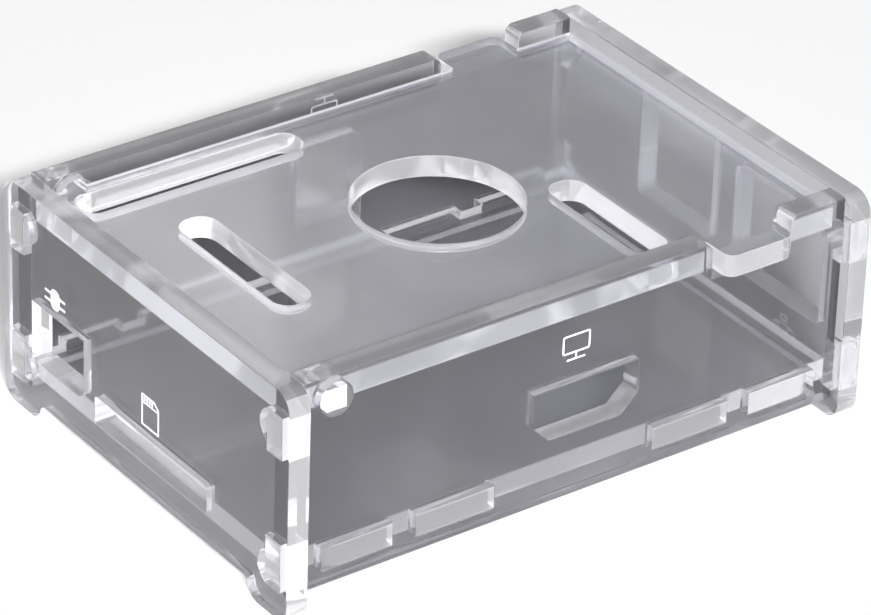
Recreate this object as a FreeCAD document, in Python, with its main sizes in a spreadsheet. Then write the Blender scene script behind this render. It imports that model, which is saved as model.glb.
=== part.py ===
"""Clear acrylic snap-together case for a credit-card-size single board computer.

Six laser-cut sheets slot into each other without screws: two end panels with feet, two long walls
whose rounded tenons pass through the end panels, a bottom plate whose tabs pass through the long
walls, and a lid between the walls.  The lid turns on two small tabs that sit in round holes near the
left end of the walls, and is lifted by two tongues that lie in open notches near the right end.

Millimetres.  X runs along the case, Y from front to rear, Z up.  The origin lies on the table, under
the middle of the case.  The left end panel holds the card and power openings, the right end panel
the network and double-socket openings, the front wall the display opening.
"""
import FreeCAD, Part
import Sketcher
import os

SIZES = (
    ("sheet", 3.2, "thickness of every acrylic sheet"),
    ("bay_length", 85.6, "inside length, between the end panels"),
    ("bay_width", 56.6, "inside width, between the long walls"),
    ("wall_height", 30.6, "height of a long wall"),
    ("wall_lift", 3.0, "bottom edge of a long wall above the table"),
    ("end_lift", 2.6, "straight bottom edge of an end panel above the table"),
    ("ear", 1.6, "end panel past the outer face of a long wall"),
    ("foot_width", 8.8, "width of a foot of an end panel"),
    ("foot_round", 2.5, "rounding of the lower corners of a foot"),
    ("foot_root_round", 1.0, "rounding where a foot meets the bottom edge"),
    ("foot_flat", 0.1, "least straight part of a foot's side"),
    ("top_round", 3.0, "rounding of the upper corners of an end panel"),
    ("fit_gap", 0.1, "clearance of a tab in its slot"),
    ("floor_rise", 2.1, "underside of the bottom plate above the wall's bottom edge"),
    ("lid_drop", 2.1, "top of the lid below the wall's top edge"),
    ("tenon_low", 1.2, "lower tenon, its bottom above the wall's bottom edge"),
    ("tenon_low_height", 7.0, "height of the lower tenon"),
    ("tenon_high", 3.9, "upper tenon, its top below the wall's top edge"),
    ("tenon_high_height", 6.0, "height of the upper tenon"),
    ("tenon_round", 1.4, "rounding of a tenon's tip"),
    ("relief_radius", 2.5, "radius of the round relief in a tenon's slot"),
    ("snap_inset", 3.3, "outer floor tab from the inner face of the end panel beside it"),
    ("snap_length", 10.8, "length of an outer floor tab"),
    ("tab_gap", 3.7, "inner floor tab from the outer one beside it"),
    ("tab_length", 12.2, "length of an inner floor tab"),
    ("snap_round", 2.6, "lead-in rounding of an outer floor tab"),
    ("pivot_inset", 5.0, "lid's pivot from the inner face of the left end panel"),
    ("pivot_tab", 3.0, "width of the lid's pivot tab"),
    ("pivot_gap", 0.3, "running clearance around the pivot tab's corners"),
    ("lid_side_gap", 0.25, "gap between the lid and a long wall"),
    ("lid_end_gap", 0.6, "gap between the lid and the left end panel"),
    ("lid_far_gap", 0.3, "gap between the lid and the right end panel"),
    ("lid_seat_gap", 0.1, "gap under a tongue, above the floor of its notch"),
    ("tongue_inset", 9.25, "lid tongue from the inner face of the right end panel"),
    ("tongue_length", 10.9, "length of a lid tongue along the case"),
    ("tongue_reach", 1.35, "tongue past the outer face of a long wall"),
    ("tongue_round", 1.6, "rounding of a tongue's corners"),
    ("notch_left_gap", 1.75, "clearance between a tongue and the left side of its notch"),
    ("notch_right_gap", 0.35, "clearance between a tongue and the right side of its notch"),
    ("notch_round", 1.3, "rounding of a notch's upper corners"),
    ("vent_radius", 11.6, "radius of the round opening of the lid"),
    ("slot_width", 5.4, "width of a ribbon slot of the lid"),
    ("left_slot_inset", 10.0, "left ribbon slot from the inner face of the left end panel"),
    ("left_slot_y", 0.5, "middle of the left ribbon slot, across the case"),
    ("left_slot_length", 25.4, "length of the left ribbon slot"),
    ("right_slot_x", 16.0, "middle of the right ribbon slot, along the case"),
    ("right_slot_inset", 2.0, "right ribbon slot from the inner face of the front wall"),
    ("right_slot_length", 21.4, "length of the right ribbon slot"),
    ("slot_round", 2.4, "rounding of a ribbon slot's corners"),
    ("header_end_inset", 2.3, "header slot from the inner face of the left end panel"),
    ("header_inset", 2.4, "header slot from the inner face of the rear wall"),
    ("header_length", 34.4, "length of the header slot"),
    ("header_width", 5.2, "width of the header slot"),
    ("header_round", 2.0, "rounding of the header slot's corners"),
    ("display_x", 1.35, "middle of the display opening, along the case"),
    ("display_width", 16.9, "width of the display opening"),
    ("display_rise", 4.05, "sill of the display opening above the bottom plate"),
    ("display_height", 7.6, "height of the display opening"),
    ("display_chamfer", 2.7, "chamfer of the display opening's lower corners"),
    ("video_x", 2.6, "middle of the rear video opening, along the case"),
    ("video_width", 10.6, "width of the rear video opening"),
    ("video_height", 12.2, "height of the rear video opening"),
    ("video_round", 2.0, "rounding of the rear video opening's upper corners"),
    ("power_inset", 1.9, "power opening from the inner face of the rear wall"),
    ("power_width", 12.6, "width of the power opening"),
    ("power_rise", 0.6, "sill of the power opening above the bottom plate"),
    ("power_height", 8.9, "height of the power opening"),
    ("power_round", 1.5, "rounding of the power opening's lower front corner"),
    ("card_gap", 2.65, "card slot from the power opening"),
    ("card_width", 26.2, "width of the card slot"),
    ("card_dip", 1.4, "lower edge of the card slot below the top of the bottom plate"),
    ("card_height", 4.1, "height of the card slot"),
    ("card_round", 0.6, "rounding of the card slot's corners"),
    ("port_rise", 3.9, "sill of the sockets' openings above the bottom plate"),
    ("network_inset", 2.1, "network opening from the inner face of the front wall"),
    ("network_width", 17.0, "width of the network opening"),
    ("network_height", 14.0, "height of the network opening"),
    ("socket_gap", 4.8, "double-socket opening from the network opening"),
    ("socket_width", 16.0, "width of the double-socket opening"),
    ("socket_height", 15.6, "height of the double-socket opening"),
    ("port_round", 0.8, "rounding of the sockets' openings"),
)

# Places that several sheets share, as expressions of the sheet's cells.
INNER_X = "Sizes.bay_length / 2"
OUTER_X = "(Sizes.bay_length / 2 + Sizes.sheet)"
INNER_Y = "Sizes.bay_width / 2"
OUTER_Y = "(Sizes.bay_width / 2 + Sizes.sheet)"
EAR_Y = "(Sizes.bay_width / 2 + Sizes.sheet + Sizes.ear)"
TOP_Z = "(Sizes.wall_lift + Sizes.wall_height)"
FLOOR_LOW = "(Sizes.wall_lift + Sizes.floor_rise)"
FLOOR_TOP = "(Sizes.wall_lift + Sizes.floor_rise + Sizes.sheet)"
LID_LOW = "(Sizes.wall_lift + Sizes.wall_height - Sizes.lid_drop - Sizes.sheet)"
LID_MIDDLE = "(Sizes.wall_lift + Sizes.wall_height - Sizes.lid_drop - Sizes.sheet / 2)"
LID_Y = "(Sizes.bay_width / 2 - Sizes.lid_side_gap)"
PIVOT_X = "(Sizes.pivot_inset - Sizes.bay_length / 2)"
LOW_TENON = ("(Sizes.wall_lift + Sizes.tenon_low)",
             "(Sizes.wall_lift + Sizes.tenon_low + Sizes.tenon_low_height)")
HIGH_TENON = ("(Sizes.wall_lift + Sizes.wall_height - Sizes.tenon_high - Sizes.tenon_high_height)",
              "(Sizes.wall_lift + Sizes.wall_height - Sizes.tenon_high)")
TENONS = (LOW_TENON, HIGH_TENON)
# Spans along the case that a lid tongue and its notch, and a floor tab and its slot, have in common.
TONGUE_X = (INNER_X + " - Sizes.tongue_inset - Sizes.tongue_length", INNER_X + " - Sizes.tongue_inset")
SNAP_X = (INNER_X + " - Sizes.snap_inset - Sizes.snap_length", INNER_X + " - Sizes.snap_inset")
TAB_X = (SNAP_X[0] + " - Sizes.tab_gap - Sizes.tab_length", SNAP_X[0] + " - Sizes.tab_gap")
# Rounding of a foot's lower corners, limited by the height of the foot.
FOOT_ROUND = "min(Sizes.foot_round; Sizes.end_lift - Sizes.foot_flat)"
# Distance of the relief's middle from the tenon's outer end of its slot.
RELIEF_INSET = "(Sizes.relief_radius - Sizes.fit_gap)"
NEAR = 1e-4

doc = FreeCAD.newDocument("BoardCase")
sheet = doc.addObject("Spreadsheet::Sheet", "Sizes")
for row, (alias, value, meaning) in enumerate(SIZES, start=1):
    sheet.set("A%d" % row, alias)
    sheet.set("B%d" % row, str(value))
    sheet.set("C%d" % row, meaning)
    sheet.setAlias("B%d" % row, alias)
doc.recompute()


def number(expression):
    """The value of an expression of the sheet's cells."""
    return float(sheet.evalExpression(expression))


def minus(expression):
    """The same distance on the other side of zero."""
    return "-(%s)" % expression


def span(middle, length):
    """Both ends of a length around its middle."""
    return "%s - %s / 2" % (middle, length), "%s + %s / 2" % (middle, length)


def widened(ends, gap):
    """A span with a clearance added at both ends."""
    return "%s - %s" % (ends[0], gap), "%s + %s" % (ends[1], gap)


def new_body(label):
    body = doc.addObject("PartDesign::Body", label)
    body.Label = label
    return body


def new_sketch(body, name, plane, level):
    """A sketch on one of the body's own origin planes, raised along that plane's normal."""
    sketch = body.newObject("Sketcher::SketchObject", name)
    origin_plane = next(item for item in body.Origin.OriginFeatures if item.Role == plane)
    sketch.AttachmentSupport = (origin_plane, [""])
    sketch.MapMode = "FlatFace"
    sketch.setExpression("AttachmentOffset.Base.z", level)
    return sketch


def pin(sketch, kind, geometry, point, expression):
    """Fixes one coordinate of a point, measured from the sketch's origin."""
    place = number(expression)
    index = sketch.addConstraint(Sketcher.Constraint(kind, -1, 1, geometry, point, place))
    sketch.setExpression("Constraints[%d]" % index, expression)


def rectangle(sketch, across, along):
    """A rectangle between two spans, each given as a pair of expressions."""
    left, right = number(across[0]), number(across[1])
    low, high = number(along[0]), number(along[1])
    corners = [(left, low), (right, low), (right, high), (left, high)]
    points = [FreeCAD.Vector(x, y, 0) for x, y in corners]
    first = sketch.GeometryCount
    for start in range(4):
        sketch.addGeometry(Part.LineSegment(points[start], points[(start + 1) % 4]), False)
    for side in range(4):
        after = first + (side + 1) % 4
        sketch.addConstraint(Sketcher.Constraint("Coincident", first + side, 2, after, 1))
    for side, kind in enumerate(("Horizontal", "Vertical", "Horizontal", "Vertical")):
        sketch.addConstraint(Sketcher.Constraint(kind, first + side))
    pin(sketch, "DistanceX", first, 1, across[0])
    pin(sketch, "DistanceY", first, 1, along[0])
    pin(sketch, "DistanceX", first + 2, 1, across[1])
    pin(sketch, "DistanceY", first + 2, 1, along[1])


def circle(sketch, across, along, radius):
    """A circle around a point, with its radius, all given as expressions."""
    middle = FreeCAD.Vector(number(across), number(along), 0)
    axis = FreeCAD.Vector(0, 0, 1)
    first = sketch.addGeometry(Part.Circle(middle, axis, number(radius)), False)
    pin(sketch, "DistanceX", first, 3, across)
    pin(sketch, "DistanceY", first, 3, along)
    index = sketch.addConstraint(Sketcher.Constraint("Radius", first, number(radius)))
    sketch.setExpression("Constraints[%d]" % index, radius)


def pad(body, name, sketch):
    """Grows the sketch by one sheet thickness along its normal."""
    feature = body.newObject("PartDesign::Pad", name)
    feature.Profile = sketch
    feature.setExpression("Length", "Sizes.sheet")
    sketch.Visibility = False
    doc.recompute()
    return feature


def pocket(body, name, sketch):
    """Cuts the sketch through the sheet that was grown from the same level."""
    before = body.Shape.Volume
    feature = body.newObject("PartDesign::Pocket", name)
    feature.Profile = sketch
    feature.Reversed = True
    feature.setExpression("Length", "Sizes.sheet")
    sketch.Visibility = False
    doc.recompute()
    if not feature.Shape.Volume < before:
        raise RuntimeError("%s of %s cuts nothing" % (name, body.Label))
    return feature


def corner_edges(shape, normal, corners):
    """The edges along the sheet's normal that stand on the given corners."""
    axes = [axis for axis in range(3) if axis != normal]
    names = []
    for index, edge in enumerate(shape.Edges, start=1):
        start, end = edge.firstVertex().Point, edge.lastVertex().Point
        straight = all(abs(start[axis] - end[axis]) < NEAR for axis in axes)
        at_corner = any(all(abs(start[axis] - place) < NEAR for axis, place in zip(axes, corner))
                        for corner in corners)
        if straight and at_corner and abs(start[normal] - end[normal]) > NEAR:
            names.append("Edge%d" % index)
    return names


def dress(body, kind, name, size, normal, corners):
    """Rounds or chamfers the edges on the given corners; every corner has to be found."""
    places = [(number(first), number(second)) for first, second in corners]
    base = body.Tip
    names = corner_edges(base.Shape, normal, places)
    if len(names) != len(places):
        raise RuntimeError("%s of %s finds %d edges" % (name, body.Label, len(names)))
    feature = body.newObject(kind, name)
    feature.Base = (base, names)
    feature.setExpression("Radius" if kind.endswith("Fillet") else "Size", size)
    doc.recompute()
    return feature


def fillet(body, name, size, normal, corners):
    return dress(body, "PartDesign::Fillet", name, size, normal, corners)


def four_corners(across, along):
    return [(x, y) for x in across for y in along]


def above_floor(rise, height):
    """A span up from a sill, given by its height above the bottom plate."""
    return "%s + %s" % (FLOOR_TOP, rise), "%s + %s + %s" % (FLOOR_TOP, rise, height)


def mirrored(ends):
    """A span reflected to the negative side, still from low to high."""
    return minus(ends[1]), minus(ends[0])


def tenon_slots(body, level):
    """Slots for the long walls' tenons, each with a round relief at its outer end."""
    slot_y = widened((INNER_Y, OUTER_Y), "Sizes.fit_gap")
    sketch = new_sketch(body, "SlotSketch", "YZ_Plane", level)
    for ends in (slot_y, mirrored(slot_y)):
        for tenon in TENONS:
            rectangle(sketch, ends, widened(tenon, "Sizes.fit_gap"))
    pocket(body, "Slots", sketch)
    reliefs = new_sketch(body, "ReliefSketch", "YZ_Plane", level)
    relief_y = "(%s + Sizes.fit_gap - Sizes.relief_radius)" % OUTER_Y
    low_z = "%s + %s" % (LOW_TENON[0], RELIEF_INSET)
    high_z = "%s - %s" % (HIGH_TENON[1], RELIEF_INSET)
    for side in (relief_y, minus(relief_y)):
        for height in (low_z, high_z):
            circle(reliefs, side, height, "Sizes.relief_radius")
    pocket(body, "Reliefs", reliefs)


def end_panel(label, level):
    """An upright end sheet: straight bottom edge, two feet, rounded corners and tenon slots."""
    body = new_body(label)
    plate = new_sketch(body, "PlateSketch", "YZ_Plane", level)
    rectangle(plate, (minus(EAR_Y), EAR_Y), ("Sizes.end_lift", TOP_Z))
    pad(body, "Plate", plate)
    foot = ("%s - Sizes.foot_width" % EAR_Y, EAR_Y)
    feet = new_sketch(body, "FootSketch", "YZ_Plane", level)
    for ends in (foot, mirrored(foot)):
        rectangle(feet, ends, ("0", "Sizes.end_lift"))
    pad(body, "Feet", feet)
    fillet(body, "TopRounds", "Sizes.top_round", 0, [(minus(EAR_Y), TOP_Z), (EAR_Y, TOP_Z)])
    fillet(body, "FootRounds", FOOT_ROUND, 0,
           four_corners(foot + mirrored(foot), ("0",)))
    fillet(body, "FootRoots", "Sizes.foot_root_round", 0,
           [(foot[0], "Sizes.end_lift"), (minus(foot[0]), "Sizes.end_lift")])
    tenon_slots(body, level)
    return body


def opening(body, name, plane, level, across, along):
    """A rectangular opening through the sheet."""
    sketch = new_sketch(body, name + "Sketch", plane, level)
    rectangle(sketch, across, along)
    pocket(body, name, sketch)


def left_end_panel():
    """The end with the power opening and the memory card slot."""
    level = minus(OUTER_X)
    body = end_panel("left_end_panel", level)
    rear_side = INNER_Y + " - Sizes.power_inset"
    power_y = (rear_side + " - Sizes.power_width", rear_side)
    power_z = above_floor("Sizes.power_rise", "Sizes.power_height")
    opening(body, "Power", "YZ_Plane", level, power_y, power_z)
    fillet(body, "PowerRound", "Sizes.power_round", 0, [(power_y[0], power_z[0])])
    card_side = power_y[0] + " - Sizes.card_gap"
    card_y = (card_side + " - Sizes.card_width", card_side)
    card_z = above_floor("(-Sizes.card_dip)", "Sizes.card_height")
    opening(body, "Card", "YZ_Plane", level, card_y, card_z)
    fillet(body, "CardRounds", "Sizes.card_round", 0, four_corners(card_y, card_z))
    return body


def right_end_panel():
    """The end with the network opening and the double-socket opening."""
    level = INNER_X
    body = end_panel("right_end_panel", level)
    network_side = minus(INNER_Y) + " + Sizes.network_inset"
    socket_side = network_side + " + Sizes.network_width + Sizes.socket_gap"
    openings = (("Network", network_side, "Sizes.network_width", "Sizes.network_height"),
                ("Socket", socket_side, "Sizes.socket_width", "Sizes.socket_height"))
    for name, front_side, width, height in openings:
        across = (front_side, "%s + %s" % (front_side, width))
        along = above_floor("Sizes.port_rise", height)
        opening(body, name, "YZ_Plane", level, across, along)
        fillet(body, name + "Rounds", "Sizes.port_round", 0, four_corners(across, along))
    return body


def floor_tabs():
    """Spans of the bottom plate's tabs along the case, from left to right."""
    return [mirrored(SNAP_X), mirrored(TAB_X), TAB_X, SNAP_X]


def long_wall(label, level):
    """An upright long sheet: tenons at both ends, tab slots, pivot hole and tongue notch."""
    body = new_body(label)
    wall_z = ("Sizes.wall_lift", TOP_Z)
    plate = new_sketch(body, "PlateSketch", "XZ_Plane", level)
    rectangle(plate, (minus(INNER_X), INNER_X), wall_z)
    pad(body, "Plate", plate)
    tenons = new_sketch(body, "TenonSketch", "XZ_Plane", level)
    for ends in ((INNER_X, OUTER_X), (minus(OUTER_X), minus(INNER_X))):
        for tenon in TENONS:
            rectangle(tenons, ends, tenon)
    pad(body, "Tenons", tenons)
    tips = four_corners((OUTER_X, minus(OUTER_X)), LOW_TENON + HIGH_TENON)
    fillet(body, "TenonRounds", "Sizes.tenon_round", 1, tips)
    slots = new_sketch(body, "TabSlotSketch", "XZ_Plane", level)
    for tab in floor_tabs():
        rectangle(slots, widened(tab, "Sizes.fit_gap"),
                  widened((FLOOR_LOW, FLOOR_TOP), "Sizes.fit_gap"))
    pocket(body, "TabSlots", slots)
    pivot = new_sketch(body, "PivotSketch", "XZ_Plane", level)
    reach = "(sqrt(Sizes.pivot_tab ^ 2 + Sizes.sheet ^ 2) / 2 + Sizes.pivot_gap)"
    circle(pivot, PIVOT_X, LID_MIDDLE, reach)
    pocket(body, "PivotHole", pivot)
    notch_x = (TONGUE_X[0] + " - Sizes.notch_left_gap", TONGUE_X[1] + " + Sizes.notch_right_gap")
    opening(body, "Notch", "XZ_Plane", level, notch_x, (LID_LOW + " - Sizes.lid_seat_gap", TOP_Z))
    fillet(body, "NotchRounds", "Sizes.notch_round", 1, four_corners(notch_x, (TOP_Z,)))
    return body


def front_wall():
    """The long wall with the display opening, which has chamfered lower corners."""
    level = INNER_Y
    body = long_wall("front_wall", level)
    across = span("Sizes.display_x", "Sizes.display_width")
    along = above_floor("Sizes.display_rise", "Sizes.display_height")
    opening(body, "Display", "XZ_Plane", level, across, along)
    dress(body, "PartDesign::Chamfer", "DisplayChamfers", "Sizes.display_chamfer", 1,
          four_corners(across, along[:1]))
    return body


def rear_wall():
    """The long wall with the video opening."""
    level = minus(OUTER_Y)
    body = long_wall("rear_wall", level)
    across = span("Sizes.video_x", "Sizes.video_width")
    along = above_floor("Sizes.port_rise", "Sizes.video_height")
    opening(body, "Video", "XZ_Plane", level, across, along)
    fillet(body, "VideoRounds", "Sizes.video_round", 1, four_corners(across, along[1:]))
    return body


def bottom_plate():
    """The flat sheet that the board lies over, with four tabs along each long edge."""
    body = new_body("bottom_plate")
    plate = new_sketch(body, "PlateSketch", "XY_Plane", FLOOR_LOW)
    plate_x = INNER_X + " - Sizes.fit_gap"
    plate_y = INNER_Y + " - Sizes.fit_gap"
    rectangle(plate, (minus(plate_x), plate_x), (minus(plate_y), plate_y))
    pad(body, "Plate", plate)
    tabs = new_sketch(body, "TabSketch", "XY_Plane", FLOOR_LOW)
    for ends in ((plate_y, OUTER_Y), (minus(OUTER_Y), minus(plate_y))):
        for tab in floor_tabs():
            rectangle(tabs, tab, ends)
    pad(body, "Tabs", tabs)
    fillet(body, "SnapRounds", "Sizes.snap_round", 2,
           four_corners((SNAP_X[1], minus(SNAP_X[1])), (OUTER_Y, minus(OUTER_Y))))
    return body


def ribbon_slot(body, name, across, along, rounding):
    """A rounded slot through the lid, between two spans."""
    opening(body, name, "XY_Plane", LID_LOW, across, along)
    fillet(body, name + "Rounds", rounding, 2, four_corners(across, along))


def lid():
    """The turning top sheet: pivot tabs, lifting tongues, round opening and ribbon slots."""
    body = new_body("lid")
    plate = new_sketch(body, "PlateSketch", "XY_Plane", LID_LOW)
    lid_x = (minus(INNER_X) + " + Sizes.lid_end_gap", INNER_X + " - Sizes.lid_far_gap")
    rectangle(plate, lid_x, (minus(LID_Y), LID_Y))
    pad(body, "Plate", plate)
    tab_y = (LID_Y, OUTER_Y)
    pivot_x = span(PIVOT_X, "Sizes.pivot_tab")
    pivots = new_sketch(body, "PivotSketch", "XY_Plane", LID_LOW)
    for ends in (tab_y, mirrored(tab_y)):
        rectangle(pivots, pivot_x, ends)
    pad(body, "PivotTabs", pivots)
    tongue_end = OUTER_Y + " + Sizes.tongue_reach"
    tongues = new_sketch(body, "TongueSketch", "XY_Plane", LID_LOW)
    for ends in ((LID_Y, tongue_end), (minus(tongue_end), minus(LID_Y))):
        rectangle(tongues, TONGUE_X, ends)
    pad(body, "Tongues", tongues)
    fillet(body, "TongueRounds", "Sizes.tongue_round", 2,
           four_corners(TONGUE_X, (tongue_end, minus(tongue_end))))
    vent = new_sketch(body, "VentSketch", "XY_Plane", LID_LOW)
    circle(vent, "0", "0", "Sizes.vent_radius")
    pocket(body, "Vent", vent)
    left_side = minus(INNER_X) + " + Sizes.left_slot_inset"
    ribbon_slot(body, "LeftSlot", (left_side, left_side + " + Sizes.slot_width"),
                span("Sizes.left_slot_y", "Sizes.left_slot_length"), "Sizes.slot_round")
    front_side = minus(INNER_Y) + " + Sizes.right_slot_inset"
    ribbon_slot(body, "RightSlot", span("Sizes.right_slot_x", "Sizes.slot_width"),
                (front_side, front_side + " + Sizes.right_slot_length"), "Sizes.slot_round")
    header_end = minus(INNER_X) + " + Sizes.header_end_inset"
    rear_side = INNER_Y + " - Sizes.header_inset"
    ribbon_slot(body, "HeaderSlot", (header_end, header_end + " + Sizes.header_length"),
                (rear_side + " - Sizes.header_width", rear_side), "Sizes.header_round")
    return body


panels = [left_end_panel(), right_end_panel(), front_wall(), rear_wall(), bottom_plate(), lid()]
doc.recompute()
for item in doc.Objects:
    if "Invalid" in item.State or "Error" in item.State:
        raise RuntimeError("%s did not build" % item.Label)
for panel in panels:
    if panel.Shape.isNull() or not panel.Shape.isValid() or len(panel.Shape.Solids) != 1:
        raise RuntimeError("%s is not one whole solid" % panel.Label)
os.makedirs("parts", exist_ok=True)
for panel in panels:
    panel.Shape.exportStep("parts/%s.step" % panel.Label)
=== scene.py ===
"""Looks of the clear slot-together case: polished acrylic sheets whose laser-cut edges get painted glow,
light and shade.

Every sheet of the frame gets a finished twin: its cut outline is kept, its flat faces are merged, the rims
along its cuts are eased as the beam's heat eases them, and its cut edges carry the laser's striations.  The
engraved marks are thin frosted fills on the outer faces.  Lengths in the settings are metres.
"""
import math

import bmesh
import bpy
from mathutils import Matrix, Vector


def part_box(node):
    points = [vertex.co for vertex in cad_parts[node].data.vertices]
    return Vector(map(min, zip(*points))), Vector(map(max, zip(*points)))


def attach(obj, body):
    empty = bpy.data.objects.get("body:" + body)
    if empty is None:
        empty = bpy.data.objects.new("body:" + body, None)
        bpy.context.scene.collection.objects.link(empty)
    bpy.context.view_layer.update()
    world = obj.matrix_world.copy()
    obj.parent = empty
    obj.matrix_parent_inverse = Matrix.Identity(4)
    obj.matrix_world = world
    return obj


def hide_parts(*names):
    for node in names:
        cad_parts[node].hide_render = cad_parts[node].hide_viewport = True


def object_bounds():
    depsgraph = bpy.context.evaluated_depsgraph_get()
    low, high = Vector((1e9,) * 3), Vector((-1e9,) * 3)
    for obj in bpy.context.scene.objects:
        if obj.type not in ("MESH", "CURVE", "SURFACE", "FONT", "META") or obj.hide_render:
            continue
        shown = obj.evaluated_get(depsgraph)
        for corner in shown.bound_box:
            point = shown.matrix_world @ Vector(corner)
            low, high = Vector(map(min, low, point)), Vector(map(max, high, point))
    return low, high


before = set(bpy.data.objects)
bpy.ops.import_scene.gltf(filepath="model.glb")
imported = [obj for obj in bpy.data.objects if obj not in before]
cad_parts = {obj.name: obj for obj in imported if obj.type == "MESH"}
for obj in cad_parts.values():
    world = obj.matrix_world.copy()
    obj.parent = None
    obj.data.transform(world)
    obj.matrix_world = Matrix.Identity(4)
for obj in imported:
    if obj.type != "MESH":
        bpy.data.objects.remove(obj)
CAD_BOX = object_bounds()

bl_info = {
    "name": "Slot-together Board Case",
    "version": (1, 0, 0),
    "blender": (4, 5, 0),
    "location": "View3D > Sidebar > Board Case",
    "description": "Finishes the clear sheets of a slot-together case for a single board computer",
    "category": "Object",
}

MM = 0.001
ACRYLIC_IOR = 1.49

# an edge of the lid that lies this near the bay's walls, or nearer, is an outer one
LID_GAP = 0.8 * MM
# points that the meshing left closer than this are one point
SAME_POINT = 0.002 * MM
# faces this near to one plane are merged, corners sharper than the second angle get a melted rim, and edges
# sharper than the third are shaded as sharp ones
FLAT_ANGLE = math.radians(0.5)
CORNER_ANGLE = math.radians(35)
SHARP_ANGLE = math.radians(40)
# how far a normal turns towards a sheet's thin axis: all the way on a face, hardly at all on a cut edge
FACE_TILT = 0.999
CUT_TILT = 0.05
# an edge looks up or down when its normal rises or falls by more than this
LEVEL_TILT = 0.7

# polish: a wiped sheet is nearly mirror smooth, a handled one a little less; the beam leaves a cut rougher
WALL_ROUGHNESS = 0.045
LID_ROUGHNESS = 0.06
CUT_ROUGHNESS = 0.1
UPPER_ROUGHNESS = 0.22
RIM_ROUGHNESS = 0.15
FROST_ROUGHNESS = 0.7
FLOOR_ROUGHNESS = 0.9
FLOOR_SPECULAR = 0.1
# share of the light that enters at a cut edge and at a rim; the rest is scattered there
CUT_CLARITY = 0.88
UPPER_CLARITY = 0.65
RIM_CLARITY = 0.75
WALL_RIM_CLARITY = 0.92
# how strongly smudges and scratches haze a face
WALL_WEAR = 0.25
LID_WEAR = 0.4
# values of the noise between which a smudge, or a scratch, goes from unseen to full
SMUDGE_RANGE = 0.45, 0.75
SCRATCH_RANGE = 0.68, 0.8
# a scratch is this many times as long as it is wide
SCRATCH_LENGTH = 60
# where along the lid its painted sheen is gone, and where it is full
PAINTED_SHEEN_GONE_X = 8.0 * MM
PAINTED_SHEEN_FULL_X = -42.0 * MM
# the laser's lines run straight through the sheet, so their noise hardly changes that way
LINE_CHANGE = 0.02
LINE_BUMP, LINE_RELIEF = 0.3, 0.00003
# the raster of the engraving is about 0.1 mm
RASTER_SCALE = 10000.0
RASTER_BUMP, RASTER_RELIEF = 0.4, 0.00002
# painted glow of the frosted marks, which are no lamp
FROST_PAINTED_GLOW = 0.3
# the lid's rear edge gets its painted glow above this share of its height, and the painted glow fades in over
# this length
PAINTED_GLOW_FROM = 0.6
PAINTED_GLOW_FADE = 0.25 * MM
# an engraved fill starts and ends above the face by these shares of its depth, so it shares no plane with it
FILL_FLOOR, FILL_TOP = 0.25, 1.25

FLOOR_HALF = 3.0
FRONT_BOX, FRONT_REACH = (1.6, 0.16), 6.0
REAR_BOX, REAR_REACH = (1.2, 0.8), 3.0
REAR_TURN, REAR_HEIGHT = math.radians(159), math.radians(30)
CAMERA_TARGET = (-0.32 * MM, -0.75 * MM, 15.47 * MM)
SENSOR_WIDTH = 36.0


def linear(hex_colour):
    """Linear red, green, blue and alpha of an sRGB hex colour."""
    channels = [int(hex_colour[start:start + 2], 16) / 255 for start in (1, 3, 5)]
    return [c / 12.92 if c <= 0.04045 else ((c + 0.055) / 1.055) ** 2.4 for c in channels] + [1.0]


def colour_setting(name, hex_colour, description):
    return bpy.props.FloatVectorProperty(name=name, description=description, subtype="COLOR", size=4,
                                         min=0.0, max=1.0, default=linear(hex_colour))


def length_setting(name, metres, description):
    return bpy.props.FloatProperty(name=name, description=description, default=metres,
                                   subtype="DISTANCE", unit="LENGTH", precision=5)


def share_setting(name, share, description):
    return bpy.props.FloatProperty(name=name, description=description, default=share,
                                   min=0.0, max=1.0, subtype="FACTOR")


def angle_setting(name, degrees, description):
    return bpy.props.FloatProperty(name=name, description=description, default=math.radians(degrees),
                                   subtype="ANGLE", unit="ROTATION")


def power_setting(name, watts, description):
    return bpy.props.FloatProperty(name=name, description=description, default=watts, min=0.0,
                                   subtype="POWER", unit="POWER")


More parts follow.
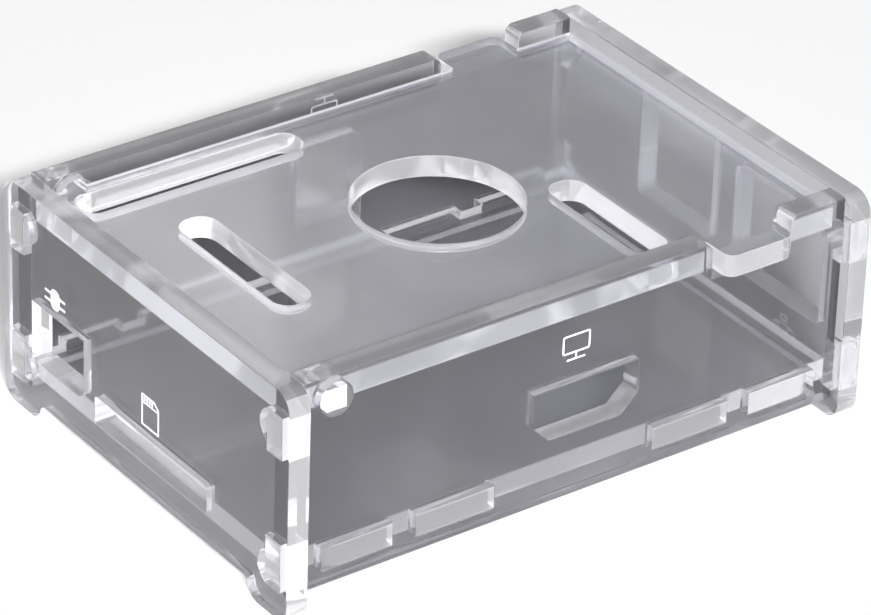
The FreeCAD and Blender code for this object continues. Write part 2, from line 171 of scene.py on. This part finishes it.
class CaseSheetSettings(bpy.types.PropertyGroup):
    """Finish of the acrylic sheets."""

    face_colour: colour_setting("Sheet colour", "#C8C8CD", "Tint of the upright sheets and the bottom plate")
    # the lid is given a paler tint and less clarity than the walls, partly for its scuffs and partly as
    # painted light that makes the lid, which faces up, read lighter
    lid_colour: colour_setting("Lid colour", "#CCCCD5", "Tint of the lid, which handling has scuffed")
    # on the lid this paler tint is also a painted sheen, growing towards its pivot end
    haze_and_sheen_colour: colour_setting("Haze colour", "#F0F0F5", "Paler tint where fingers and wiping have hazed it")
    # painted light and shade: the cut edges of one acrylic get different colours by how the light falls on
    # them, lighter on the end panels, the lid and the plate, darker on the upper edges
    wall_edge_colour: colour_setting("Wall edge colour", "#D2D2D6", "Cut edge of a long wall")
    end_edge_lit_colour: colour_setting("End edge colour", "#DADADD", "Cut edge of an end panel")
    level_edge_lit_colour: colour_setting("Level edge colour", "#F0F0F2", "Cut edge of the lid and bottom plate")
    upper_edge_shade_colour: colour_setting("Upper edge colour", "#A9A9AD", "Upper edge of an upright sheet")
    # painted highlight: the white of the rims draws them as thin lines of caught light
    rim_highlight_colour: colour_setting("Rim colour", "#FAFAFA", "Melted rim where a cut meets a face")
    clarity: share_setting("Clarity", 0.97, "Share of the light that a face lets in")
    # partly scuffs and partly painted light: the lid's lower clarity makes it read lighter
    lid_clarity: share_setting("Lid clarity", 0.84, "The same for the scuffed lid")
    shade: share_setting("Shade", 0.13, "Share of the lamp light that passes each surface")
    # painted light: each glow below is an emission that stands in for light the sheet pipes to its edges or
    # that its rims catch; the left end panel gets more than the right, and the lid's rear edge glows only on
    # its upper part
    wall_edge_painted_glow: share_setting("Wall edge glow", 0.06, "Light that a long wall pipes to its cut edges")
    left_edge_painted_glow: share_setting("Left edge glow", 0.5, "Light that the left end panel pipes to its cut edges")
    right_edge_painted_glow: share_setting("Right edge glow", 0.24, "The same for the right end panel")
    plate_edge_painted_glow: share_setting("Plate edge glow", 0.62, "Light that the bottom plate pipes to its edges")
    lid_edge_painted_glow: share_setting("Lid edge glow", 0.58, "Light that the lid pipes to its outer edges")
    opening_painted_glow: share_setting("Opening glow", 0.2, "Light that the lid pipes to its openings")
    tongue_painted_glow: share_setting("Tongue glow", 0.1, "The same for the ends of its tongues")
    far_edge_painted_glow: share_setting("Far edge glow", 0.75, "The same for the upper part of its rear edge")
    upper_edge_painted_glow: share_setting("Upper edge glow", 0.02, "Light that an upper edge gives off")
    tab_painted_glow: share_setting("Tab glow", 0.4, "Light that the ends of the tabs and tenons give off")
    lower_edge_painted_glow: share_setting("Lower edge glow", 0.03, "Light from above that leaves at a lower edge")
    rim_painted_glow: share_setting("Rim glow", 0.14, "Light that the rims of the lid and plate catch")
    wall_rim_painted_glow: share_setting("Wall rim glow", 0.03, "The same for the rims of the upright sheets")
    bevel: length_setting("Rim bevel", 0.00012, "Width of the melted rim along a cut")
    striation: length_setting("Striation", 0.00035, "Spacing of the laser's lines along a cut")
    smudge: length_setting("Smudge", 0.016, "Size of the hazy patches on a face")
    hairline: length_setting("Hairline", 0.00025, "Width of a hairline scratch")


class CaseMarkSettings(bpy.types.PropertyGroup):
    """Sizes of the engraved marks."""

    line: length_setting("Line", 0.00024, "Width of an engraved line")
    depth: length_setting("Depth", 0.00004, "Thickness of a frosted fill")
    colour: colour_setting("Mark colour", "#F2F2F4", "Frosted white of an engraved mark")


class CaseStageSettings(bpy.types.PropertyGroup):
    """Floor, light and camera."""

    floor_colour: colour_setting("Floor colour", "#F8F8F8", "Pale matt floor")
    front_power: power_setting("Front lamp power", 700.0, "Power of the long softbox beside the camera")
    rear_power: power_setting("Rear lamp power", 3.2, "Power of the faint softbox that the lid mirrors")
    front_turn: angle_setting("Front lamp turn", -30.0, "Turn of the front softbox about the upright axis")
    front_height: angle_setting("Front lamp height", 31.0, "Angle of the front softbox above the horizon")
    sky: bpy.props.FloatProperty(name="Sky", description="Strength of the even light from all round",
                                 default=0.02, min=0.0)
    camera_turn: angle_setting("Camera turn", -36.65, "Turn about the upright axis")
    camera_height: angle_setting("Camera height", 30.76, "Angle above the horizon")
    camera_roll: angle_setting("Camera roll", 1.96, "Tilt about the line of sight")
    camera_reach: length_setting("Camera reach", 0.7126, "Distance from the camera to the case")
    focal_length: bpy.props.FloatProperty(name="Focal length", description="Focal length of the lens",
                                          default=223.25, subtype="DISTANCE_CAMERA", unit="CAMERA")


# ---------------------------------------------------------------- materials

def add_node(owner, kind, settings=None, links=None):
    """A node of a kind, with values for its properties and sockets, and links into its sockets."""
    node = owner.node_tree.nodes.new(kind)
    for name, value in (settings or {}).items():
        if isinstance(name, str) and hasattr(node, name):
            setattr(node, name, value)
        else:
            node.inputs[name].default_value = value
    for name, source in (links or {}).items():
        owner.node_tree.links.new(source, node.inputs[name])
    return node


def new_material(name):
    material = bpy.data.materials.new(name)
    material.use_nodes = True
    material.node_tree.nodes.clear()
    return material


def let_lamps_through(material, surface, share):
    """Lamp light passes the sheet straight, weakened to a share of it, as it does through a thin pane."""
    rays = add_node(material, "ShaderNodeLightPath")
    pane = add_node(material, "ShaderNodeBsdfTransparent", {"Color": [share, share, share, 1.0]})
    mixed = add_node(material, "ShaderNodeMixShader", links={
        0: rays.outputs["Is Shadow Ray"], 1: surface.outputs[0], 2: pane.outputs[0]})
    add_node(material, "ShaderNodeOutputMaterial", links={"Surface": mixed.outputs[0]})


def stretched_noise(material, scale, detail):
    """Noise on the object's own coordinates, with a scale of its own along each axis."""
    place = add_node(material, "ShaderNodeTexCoord")
    stretched = add_node(material, "ShaderNodeMapping", {"Scale": scale}, {"Vector": place.outputs["Object"]})
    return add_node(material, "ShaderNodeTexNoise", {"Scale": 1.0, "Detail": detail},
                    {"Vector": stretched.outputs["Vector"]})


def polished_face(look, name, colour, clarity, roughness, wear, fade=0.0):
    """Cast acrylic sheet: glassy faces with a faint cast, hazed in patches and scratched by wiping.

    A painted sheen, a paler tint that stands in for brighter light at one end, fades along the sheet from the
    given share at that end to none.
    """
    material = new_material(name)
    smudges = stretched_noise(material, [1 / look.smudge] * 3, 3.0)
    patches = add_node(material, "ShaderNodeMapRange", {
        "From Min": SMUDGE_RANGE[0], "From Max": SMUDGE_RANGE[1], "To Max": wear},
        {"Value": smudges.outputs[0]})
    # a hairline scratch is about 0.02 mm wide, and is drawn ten times as wide so that it shows
    across = 1 / look.hairline
    hairlines = stretched_noise(material, [across / SCRATCH_LENGTH, across, across], 1.0)
    scratches = add_node(material, "ShaderNodeMapRange", {
        "From Min": SCRATCH_RANGE[0], "From Max": SCRATCH_RANGE[1], "To Max": wear},
        {"Value": hairlines.outputs[0]})
    marred = add_node(material, "ShaderNodeMath", {"operation": "ADD"},
                      {0: patches.outputs[0], 1: scratches.outputs[0]})
    # painted sheen: the lid's tint pales towards its pivot end, standing in for the brighter light there, and
    # fades to none at the tongues
    place = add_node(material, "ShaderNodeTexCoord")
    axes = add_node(material, "ShaderNodeSeparateXYZ", links={0: place.outputs["Object"]})
    painted_sheen = add_node(material, "ShaderNodeMapRange", {"From Min": PAINTED_SHEEN_GONE_X, "From Max": PAINTED_SHEEN_FULL_X, "To Max": fade},
                    {"Value": axes.outputs["X"]})
    wear_and_painted_sheen = add_node(material, "ShaderNodeMath", {"operation": "ADD", "use_clamp": True},
                    {0: marred.outputs[0], 1: painted_sheen.outputs[0]})
    tint = add_node(material, "ShaderNodeMix", {"data_type": "RGBA"}, {"Factor": wear_and_painted_sheen.outputs[0]})
    tint.inputs[6].default_value = colour
    tint.inputs[7].default_value = look.haze_and_sheen_colour
    surface = add_node(material, "ShaderNodeBsdfPrincipled", {
        "Roughness": roughness, "IOR": ACRYLIC_IOR, "Transmission Weight": clarity},
        {"Base Color": tint.outputs[2]})
    let_lamps_through(material, surface, look.shade)
    return material


def cut_edge(look, name, axis, colour, glow, roughness, clarity, painted_glow_above):
    """Laser-cut edge: glassy, with the beam's fine lines straight through the sheet, and made bright by a
    painted glow.
    """
    material = new_material(name)
    scale = [1 / look.striation] * 3
    scale[axis] = LINE_CHANGE / look.striation
    lines = stretched_noise(material, scale, 2.0)
    bump = add_node(material, "ShaderNodeBump", {"Strength": LINE_BUMP, "Distance": LINE_RELIEF},
                    {"Height": lines.outputs[0]})
    surface = add_node(material, "ShaderNodeBsdfPrincipled", {
        "Base Color": colour, "Roughness": roughness, "IOR": ACRYLIC_IOR, "Transmission Weight": clarity,
        "Emission Color": colour, "Emission Strength": glow},
        {"Normal": bump.outputs["Normal"]})
    if painted_glow_above:
        # painted light: only the upper part of the edge gets the painted glow
        place = add_node(material, "ShaderNodeTexCoord")
        axes = add_node(material, "ShaderNodeSeparateXYZ", links={0: place.outputs["Object"]})
        lit = add_node(material, "ShaderNodeMapRange", {
            "From Min": painted_glow_above, "From Max": painted_glow_above + PAINTED_GLOW_FADE}, {"Value": axes.outputs["Z"]})
        shown = add_node(material, "ShaderNodeMix", {"data_type": "RGBA"}, {"Factor": lit.outputs[0]})
        shown.inputs[6].default_value = [0.0, 0.0, 0.0, 1.0]
        shown.inputs[7].default_value = colour
        material.node_tree.links.new(shown.outputs[2], surface.inputs["Emission Color"])
    let_lamps_through(material, surface, look.shade)
    return material


def melted_rim(look, name, clarity, glow):
    """Rim of a cut: the beam's heat rounds it, and a white colour and glow paint it as a thin line of caught
    light.
    """
    material = new_material(name)
    surface = add_node(material, "ShaderNodeBsdfPrincipled", {
        "Base Color": look.rim_highlight_colour, "Roughness": RIM_ROUGHNESS, "IOR": ACRYLIC_IOR,
        "Transmission Weight": clarity, "Emission Color": look.rim_highlight_colour, "Emission Strength": glow})
    let_lamps_through(material, surface, look.shade)
    return material


def engraved_fill(marks):
    """Laser engraving: the beam frosts the polished face to a matt white, and a painted glow brightens it."""
    material = new_material("frosted_engraved_acrylic_painted_glow")
    raster = stretched_noise(material, [RASTER_SCALE] * 3, 1.0)
    bump = add_node(material, "ShaderNodeBump", {"Strength": RASTER_BUMP, "Distance": RASTER_RELIEF},
                    {"Height": raster.outputs[0]})
    surface = add_node(material, "ShaderNodeBsdfPrincipled", {
        "Base Color": marks.colour, "Roughness": FROST_ROUGHNESS, "Emission Color": marks.colour,
        "Emission Strength": FROST_PAINTED_GLOW}, {"Normal": bump.outputs["Normal"]})
    add_node(material, "ShaderNodeOutputMaterial", links={"Surface": surface.outputs[0]})
    return material


def made(name, maker, look, *settings):
    """A material that is made once and then shared."""
    return bpy.data.materials.get(name) or maker(look, name, *settings)


# ---------------------------------------------------------------- sheets

FACE, EDGE, RIM, TAB_END, LOWER_EDGE, UPPER_EDGE = range(6)
# the lid has no lower or upper edge; those two slots hold its tongue ends and its rear edge
TONGUE_END, FAR_EDGE = LOWER_EDGE, UPPER_EDGE


def thin_axis(node):
    """The axis along which a sheet is thinnest."""
    low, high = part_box(node)
    sizes = [high[axis] - low[axis] for axis in range(3)]
    return sizes.index(min(sizes))


def edge_kind(node, axis, bay, middle, normal):
    """The slot of a cut edge, by its place in or outside the bay and the way it faces."""
    along, across = abs(middle.x), abs(middle.y)
    if node == "lid":
        if across > bay[1] and middle.x > 0:
            return TONGUE_END
        if middle.y > bay[1] - LID_GAP:
            return FAR_EDGE
        return TAB_END if along > bay[0] - LID_GAP or across > bay[1] - LID_GAP else EDGE
    if (axis == 1 and along > bay[0]) or (axis == 2 and across > bay[1]):
        return TAB_END
    if abs(normal.z) > LEVEL_TILT:
        return LOWER_EDGE if normal.z < 0 else UPPER_EDGE
    return EDGE


def finished_shell(node, look):
    """A sheet's mesh with merged faces and eased rims, its faces sorted by how they were made."""
    axis = thin_axis(node)
    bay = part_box("right_end_panel")[0][0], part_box("rear_wall")[0][1]
    shell = bmesh.new()
    shell.from_mesh(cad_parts[node].data)
    bmesh.ops.remove_doubles(shell, verts=shell.verts, dist=SAME_POINT)
    bmesh.ops.dissolve_limit(shell, angle_limit=FLAT_ANGLE, verts=shell.verts, edges=shell.edges)
    corners = [edge for edge in shell.edges
               if len(edge.link_faces) == 2 and edge.calc_face_angle() > CORNER_ANGLE]
    bmesh.ops.bevel(shell, geom=corners, offset=look.bevel, offset_type="OFFSET", segments=2, profile=0.5,
                    affect="EDGES", clamp_overlap=True)
    bmesh.ops.dissolve_degenerate(shell, dist=SAME_POINT, edges=shell.edges)
    for face in shell.faces:
        tilt = abs(face.normal[axis])
        face.smooth = tilt <= FACE_TILT
        if tilt > CUT_TILT:
            face.material_index = RIM if face.smooth else FACE
        else:
            face.material_index = edge_kind(node, axis, bay, face.calc_center_median(), face.normal)
    for edge in shell.edges:
        smooth = all(face.smooth for face in edge.link_faces)
        edge.smooth = smooth and edge.calc_face_angle(0.0) < SHARP_ANGLE
    mesh = bpy.data.meshes.new(node + "_finished")
    shell.to_mesh(mesh)
    shell.free()
    return mesh


def finish_sheet(node, look, face, edge, tab_end, lower_edge, upper_edge):
    """Put a finished sheet in the place of a node of the frame."""
    mesh = finished_shell(node, look)
    piece = bpy.data.objects.new(node + "_sheet", mesh)
    bpy.context.scene.collection.objects.link(piece)
    # the rims of the lid and plate get the stronger painted highlight
    if node in ("lid", "bottom_plate"):
        rim = made("melted_acrylic_rim_painted_highlight", melted_rim, look, RIM_CLARITY, look.rim_painted_glow)
    else:
        rim = made("melted_acrylic_wall_rim_painted_highlight", melted_rim, look, WALL_RIM_CLARITY, look.wall_rim_painted_glow)
    for material in (face, edge, rim, tab_end, lower_edge, upper_edge):
        mesh.materials.append(material)
    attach(piece, "lid" if node == "lid" else "case")
    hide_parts(node)


def clear_face(look):
    return made("polished_cast_acrylic", polished_face, look, look.face_colour, look.clarity, WALL_ROUGHNESS,
                WALL_WEAR)


def edge_of(look, kind, axis, colour, glow, roughness=CUT_ROUGHNESS, clarity=CUT_CLARITY, painted_glow_above=None):
    return made("laser_cut_acrylic_painted_light_" + kind, cut_edge, look, axis, colour, glow, roughness, clarity,
                painted_glow_above)


def upper_edge_of(look, kind, axis, colour):
    return edge_of(look, kind, axis, colour, look.upper_edge_painted_glow, UPPER_ROUGHNESS, UPPER_CLARITY)


class CASE_OT_end_panels(bpy.types.Operator):
    """Finish the two end panels"""

    bl_idname = "case.end_panels"
    bl_label = "End panels"

    def execute(self, context):
        look = context.scene.case_sheets
        lower = edge_of(look, "end_lower_edge", 0, look.level_edge_lit_colour, look.lower_edge_painted_glow)
        # painted light and shade: the left panel's edges get the stronger painted glow and its upper edge the
        # darker painted shade, while the right panel's upper edge takes the lighter wall edge colour
        for side, glow, colour in (("left", look.left_edge_painted_glow, look.upper_edge_shade_colour),
                                   ("right", look.right_edge_painted_glow, look.wall_edge_colour)):
            edge = edge_of(look, side + "_edge", 0, look.end_edge_lit_colour, glow)
            upper = upper_edge_of(look, side + "_upper_edge", 0, colour)
            finish_sheet(side + "_end_panel", look, clear_face(look), edge, edge, lower, upper)
        return {"FINISHED"}


class CASE_OT_long_walls(bpy.types.Operator):
    """Finish the front and rear walls"""

    bl_idname = "case.long_walls"
    bl_label = "Long walls"

    def execute(self, context):
        look = context.scene.case_sheets
        edge = edge_of(look, "wall_edge", 1, look.wall_edge_colour, look.wall_edge_painted_glow)
        tenon = edge_of(look, "tenon_end", 1, look.end_edge_lit_colour, look.tab_painted_glow)
        lower = edge_of(look, "wall_lower_edge", 1, look.level_edge_lit_colour, look.lower_edge_painted_glow)
        upper = upper_edge_of(look, "wall_upper_edge", 1, look.upper_edge_shade_colour)
        for node in ("front_wall", "rear_wall"):
            finish_sheet(node, look, clear_face(look), edge, tenon, lower, upper)
        return {"FINISHED"}


class CASE_OT_bottom_plate(bpy.types.Operator):
    """Finish the bottom plate and its tabs"""

    bl_idname = "case.bottom_plate"
    bl_label = "Bottom plate"

    def execute(self, context):
        look = context.scene.case_sheets
        edge = edge_of(look, "plate_edge", 2, look.level_edge_lit_colour, look.plate_edge_painted_glow)
        tab_end = edge_of(look, "tab_end", 2, look.wall_edge_colour, look.tab_painted_glow)
        finish_sheet("bottom_plate", look, clear_face(look), edge, tab_end, edge, edge)
        return {"FINISHED"}


class CASE_OT_lid(bpy.types.Operator):
    """Finish the turning lid"""

    bl_idname = "case.lid"
    bl_label = "Lid"

    def execute(self, context):
        look = context.scene.case_sheets
        # partly scuffs and partly painted light: the lid's face is paler and hazier than the walls', with a
        # painted sheen towards its pivot end
        face = made("scuffed_cast_acrylic_painted_sheen", polished_face, look, look.lid_colour, look.lid_clarity,
                    LID_ROUGHNESS, LID_WEAR, 1.0)
        opening = edge_of(look, "opening_edge", 2, look.level_edge_lit_colour, look.opening_painted_glow)
        outer = edge_of(look, "lid_edge", 2, look.level_edge_lit_colour, look.lid_edge_painted_glow)
        tongue = edge_of(look, "tongue_end", 2, look.level_edge_lit_colour, look.tongue_painted_glow)
        low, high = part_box("lid")
        # painted glow on the upper part of the rear edge only
        far = edge_of(look, "lid_far_edge", 2, look.level_edge_lit_colour, look.far_edge_painted_glow,
                      painted_glow_above=(1 - PAINTED_GLOW_FROM) * low[2] + PAINTED_GLOW_FROM * high[2])
        finish_sheet("lid", look, face, opening, outer, tongue, far)
        return {"FINISHED"}


# ---------------------------------------------------------------- marks

class Mark:
    """Frosted fills on the outer face of a sheet; its shapes are drawn in millimetres."""

    def __init__(self, name, origin, across, outwards, turned=False):
        self.name = name
        self.shell = bmesh.new()
        self.origin = Vector(origin)
        sign = -1 if turned else 1
        self.across = Vector(across) * sign
        self.up = Vector((0, 0, sign))
        self.outwards = Vector(outwards)

    def spot(self, point, rise):
        """A drawn point on the sheet's face, raised above it."""
        return (self.origin + self.across * point[0] + self.up * point[1]) * MM + self.outwards * rise

    def fill(self, outline, depth, hole=()):
        """A thin closed solid with an outline, and a hole that has as many corners if one is given."""
        loops = [[self.shell.verts.new(self.spot(point, rise)) for point in points]
                 for points in (outline, hole) if points for rise in (FILL_FLOOR * depth, FILL_TOP * depth)]
        count = len(outline)
        pairs = [(loops[0], loops[1])] + ([(loops[2], loops[0]), (loops[1], loops[3]), (loops[3], loops[2])]
                                          if hole else [])
        for low, high in pairs:
            for here in range(count):
                there = (here + 1) % count
                self.shell.faces.new((low[here], low[there], high[there], high[here]))
        if not hole:
            self.shell.faces.new(loops[0])
            self.shell.faces.new(loops[1])

    def bar(self, start, end, width, depth):
        """A straight engraved line."""
        start, end = Vector(start), Vector(end)
        side = (end - start).orthogonal().normalized() * width / 2
        self.fill([start - side, end - side, end + side, start + side], depth)

    def piece(self, material):
        """Put the mark in the scene."""
        bmesh.ops.recalc_face_normals(self.shell, faces=self.shell.faces)
        mesh = bpy.data.meshes.new(self.name)
        self.shell.to_mesh(mesh)
        self.shell.free()
        mesh.materials.append(material)
        piece = bpy.data.objects.new(self.name, mesh)
        bpy.context.scene.collection.objects.link(piece)
        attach(piece, "case")


def rounded(left, right, low, high, radius, steps=4):
    """Outline of a rectangle with rounded corners."""
    points = []
    for turn, (x, y) in enumerate(((right - radius, high - radius), (left + radius, high - radius),
                                   (left + radius, low + radius), (right - radius, low + radius))):
        for step in range(steps + 1):
            angle = math.radians(90 * (turn + step / steps))
            points.append((x + radius * math.cos(angle), y + radius * math.sin(angle)))
    return points


def screen_mark(name, origin, across, outwards, turned, line, depth):
    """A screen on a stand."""
    mark = Mark(name, origin, across, outwards, turned)
    mark.fill(rounded(-2.2, 2.2, -1.4, 1.4, 0.35), depth,
              rounded(-2.2 + line, 2.2 - line, -1.4 + line, 1.4 - line, 0.35 - line / 2))
    mark.bar((0, -1.43), (0, -2.15), line, depth)
    mark.bar((-1.45, -2.29), (1.45, -2.29), line, depth)
    return mark


class CASE_OT_marks(bpy.types.Operator):
    """Engrave the pictograms beside the openings"""

    bl_idname = "case.marks"
    bl_label = "Marks"

    def execute(self, context):
        marks = context.scene.case_marks
        line, depth = marks.line / MM, marks.depth
        frost = engraved_fill(marks)
        # each mark's place is its middle, and its shapes are drawn round it, all in millimetres
        low, high = (corner / MM for corner in map(Vector, CAD_BOX))
        front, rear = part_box("front_wall")[0][1] / MM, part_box("rear_wall")[1][1] / MM

        screen_mark("front_screen_mark", (-0.7, front, 25.85), (1, 0, 0), (0, -1, 0), False,
                    line, depth).piece(frost)
        screen_mark("rear_screen_mark", (2.8, rear, 29.7), (1, 0, 0), (0, 1, 0), True,
                    line, depth).piece(frost)

        plug = Mark("plug_mark", (low.x, 20.55, 20.65), (0, -1, 0), (-1, 0, 0))
        plug.fill(rounded(-1.05, 1.05, -1.5, 1.5, 0.9, 6), depth)
        for rise in (0.6, -0.6):
            plug.bar((-2.45, rise), (-1.1, rise), 1.4 * line, depth)
            plug.bar((1.1, rise), (2.4, rise), 1.4 * line, depth)
        plug.piece(frost)

        card = Mark("card_mark", (low.x, -2.08, 15.0), (0, -1, 0), (-1, 0, 0))
        outer = ((-2.0, -2.35), (2.0, -2.35), (2.0, 1.45), (0.95, 2.35), (-2.0, 2.35))
        inner = ((-2.0 + line, -2.35 + line), (2.0 - line, -2.35 + line), (2.0 - line, 1.45 - 0.4 * line),
                 (0.95 - 0.4 * line, 2.35 - line), (-2.0 + line, 2.35 - line))
        card.fill(outer, depth, inner)
        for place in (-1.35, -0.75, -0.15, 0.45):
            card.bar((place, 1.35), (place, 2.0), 1.3 * line, depth)
        card.bar((-1.74, 1.12), (1.74, 1.12), 0.8 * line, depth)
        card.piece(frost)

        network = Mark("network_mark", (high.x, -17.7, 7.9), (0, 1, 0), (1, 0, 0))
        for left, base in ((-0.75, 0.35), (-2.3, -1.4), (0.8, -1.4)):
            network.fill(rounded(left, left + 1.5, base, base + 1.05, 0.15), depth,
                         rounded(left + line, left + 1.5 - line, base + line, base + 1.05 - line, 0.05))
        network.bar((0, 0.33), (0, 0.02), line, depth)
        network.bar((-1.67, -0.11), (1.67, -0.11), line, depth)
        network.bar((-1.55, -0.24), (-1.55, -0.34), line, depth)
        network.bar((1.55, -0.24), (1.55, -0.34), line, depth)
        network.piece(frost)
        return {"FINISHED"}


# ---------------------------------------------------------------- stage

def aim(obj, place, turn, height, reach, roll=0.0):
    """Put an object at a distance from a place, at a turn and a height, looking at the place."""
    back = Vector((math.sin(turn) * math.cos(height), -math.cos(turn) * math.cos(height), math.sin(height)))
    obj.location = place + back * reach
    obj.rotation_euler = ((-back).to_track_quat("-Z", "Y").to_matrix()
                          @ Matrix.Rotation(roll, 3, "Z")).to_euler()


def softbox(name, size, power, turn, rise, reach):
    """A rectangular lamp that faces the case."""
    lamp = bpy.data.lights.new(name, "AREA")
    lamp.shape = "RECTANGLE"
    lamp.size, lamp.size_y = size
    lamp.energy = power
    placed = bpy.data.objects.new(name, lamp)
    bpy.context.scene.collection.objects.link(placed)
    # the sheets let the lamp's light straight through, so it isn't refracted a second time
    placed.visible_transmission = False
    aim(placed, Vector((0, 0, 0)), turn, rise, reach)
    return placed


class CASE_OT_stage(bpy.types.Operator):
    """Set the floor, the light and the camera"""

    bl_idname = "case.stage"
    bl_label = "Stage"

    def execute(self, context):
        stage = context.scene.case_stage
        mesh = bpy.data.meshes.new("floor")
        corners = ((-1, -1), (1, -1), (1, 1), (-1, 1))
        mesh.from_pydata([(FLOOR_HALF * x, FLOOR_HALF * y, 0) for x, y in corners], [], [(0, 1, 2, 3)])
        floor = bpy.data.objects.new("floor", mesh)
        context.scene.collection.objects.link(floor)
        matt = new_material("matt_white_board")
        surface = add_node(matt, "ShaderNodeBsdfPrincipled", {
            "Base Color": stage.floor_colour, "Roughness": FLOOR_ROUGHNESS,
            "Specular IOR Level": FLOOR_SPECULAR})
        add_node(matt, "ShaderNodeOutputMaterial", links={"Surface": surface.outputs[0]})
        mesh.materials.append(matt)

        # the eye, mirrors and clear sheets see a white surround; matt surfaces get the weaker sky
        world = bpy.data.worlds.new("even_sky")
        context.scene.world = world
        world.use_nodes = True
        world.node_tree.nodes.clear()
        rays = add_node(world, "ShaderNodeLightPath")
        seen = add_node(world, "ShaderNodeMath", {"operation": "MAXIMUM"},
                        {0: rays.outputs["Is Camera Ray"], 1: rays.outputs["Is Glossy Ray"]})
        shown = add_node(world, "ShaderNodeMath", {"operation": "MAXIMUM"},
                         {0: seen.outputs[0], 1: rays.outputs["Is Transmission Ray"]})
        direct = add_node(world, "ShaderNodeMath", {"operation": "LESS_THAN", 1: 0.5},
                          {0: rays.outputs["Diffuse Depth"]})
        plain = add_node(world, "ShaderNodeMath", {"operation": "MULTIPLY"},
                         {0: shown.outputs[0], 1: direct.outputs[0]})
        light = add_node(world, "ShaderNodeBackground", {"Color": [1, 1, 1, 1], "Strength": stage.sky})
        view = add_node(world, "ShaderNodeBackground", {"Color": [1, 1, 1, 1], "Strength": 1.0})
        mixed = add_node(world, "ShaderNodeMixShader",
                         links={0: plain.outputs[0], 1: light.outputs[0], 2: view.outputs[0]})
        add_node(world, "ShaderNodeOutputWorld", links={"Surface": mixed.outputs[0]})

        # the front lamp stands as high as the camera, so the case's shadow falls behind the case, where
        # the clear sheets show it; the rear one is only mirrored by the faces
        softbox("front_softbox", FRONT_BOX, stage.front_power, stage.front_turn, stage.front_height,
                FRONT_REACH)
        sheen = softbox("rear_softbox", REAR_BOX, stage.rear_power, REAR_TURN, REAR_HEIGHT, REAR_REACH)
        sheen.visible_diffuse = False

        lens = bpy.data.cameras.new("camera")
        lens.lens = stage.focal_length
        lens.sensor_width = SENSOR_WIDTH
        camera = bpy.data.objects.new("camera", lens)
        context.scene.collection.objects.link(camera)
        aim(camera, Vector(CAMERA_TARGET), stage.camera_turn, stage.camera_height, stage.camera_reach,
            stage.camera_roll)
        context.scene.camera = camera
        context.scene.view_settings.view_transform = "Standard"
        return {"FINISHED"}


class CASE_PT_panel(bpy.types.Panel):
    """Lists the steps."""

    bl_idname = "CASE_PT_panel"
    bl_label = "Board Case"
    bl_space_type = "VIEW_3D"
    bl_region_type = "UI"
    bl_category = "Board Case"

    def draw(self, context):
        for operator in OPERATORS:
            self.layout.operator(operator.bl_idname)


SETTINGS = {"case_sheets": CaseSheetSettings, "case_marks": CaseMarkSettings, "case_stage": CaseStageSettings}
OPERATORS = (CASE_OT_end_panels, CASE_OT_long_walls, CASE_OT_bottom_plate, CASE_OT_lid, CASE_OT_marks,
             CASE_OT_stage)


def register():
    for settings in SETTINGS.values():
        bpy.utils.register_class(settings)
    for name, settings in SETTINGS.items():
        setattr(bpy.types.Scene, name, bpy.props.PointerProperty(type=settings))
    for operator in OPERATORS:
        bpy.utils.register_class(operator)
    bpy.utils.register_class(CASE_PT_panel)


def unregister():
    bpy.utils.unregister_class(CASE_PT_panel)
    for operator in reversed(OPERATORS):
        bpy.utils.unregister_class(operator)
    for name, settings in SETTINGS.items():
        delattr(bpy.types.Scene, name)
        bpy.utils.unregister_class(settings)


def main():
    register()
    bpy.ops.case.end_panels()
    bpy.ops.case.long_walls()
    bpy.ops.case.bottom_plate()
    bpy.ops.case.lid()
    bpy.ops.case.marks()
    bpy.ops.case.stage()


if __name__ == "__main__":
    main()
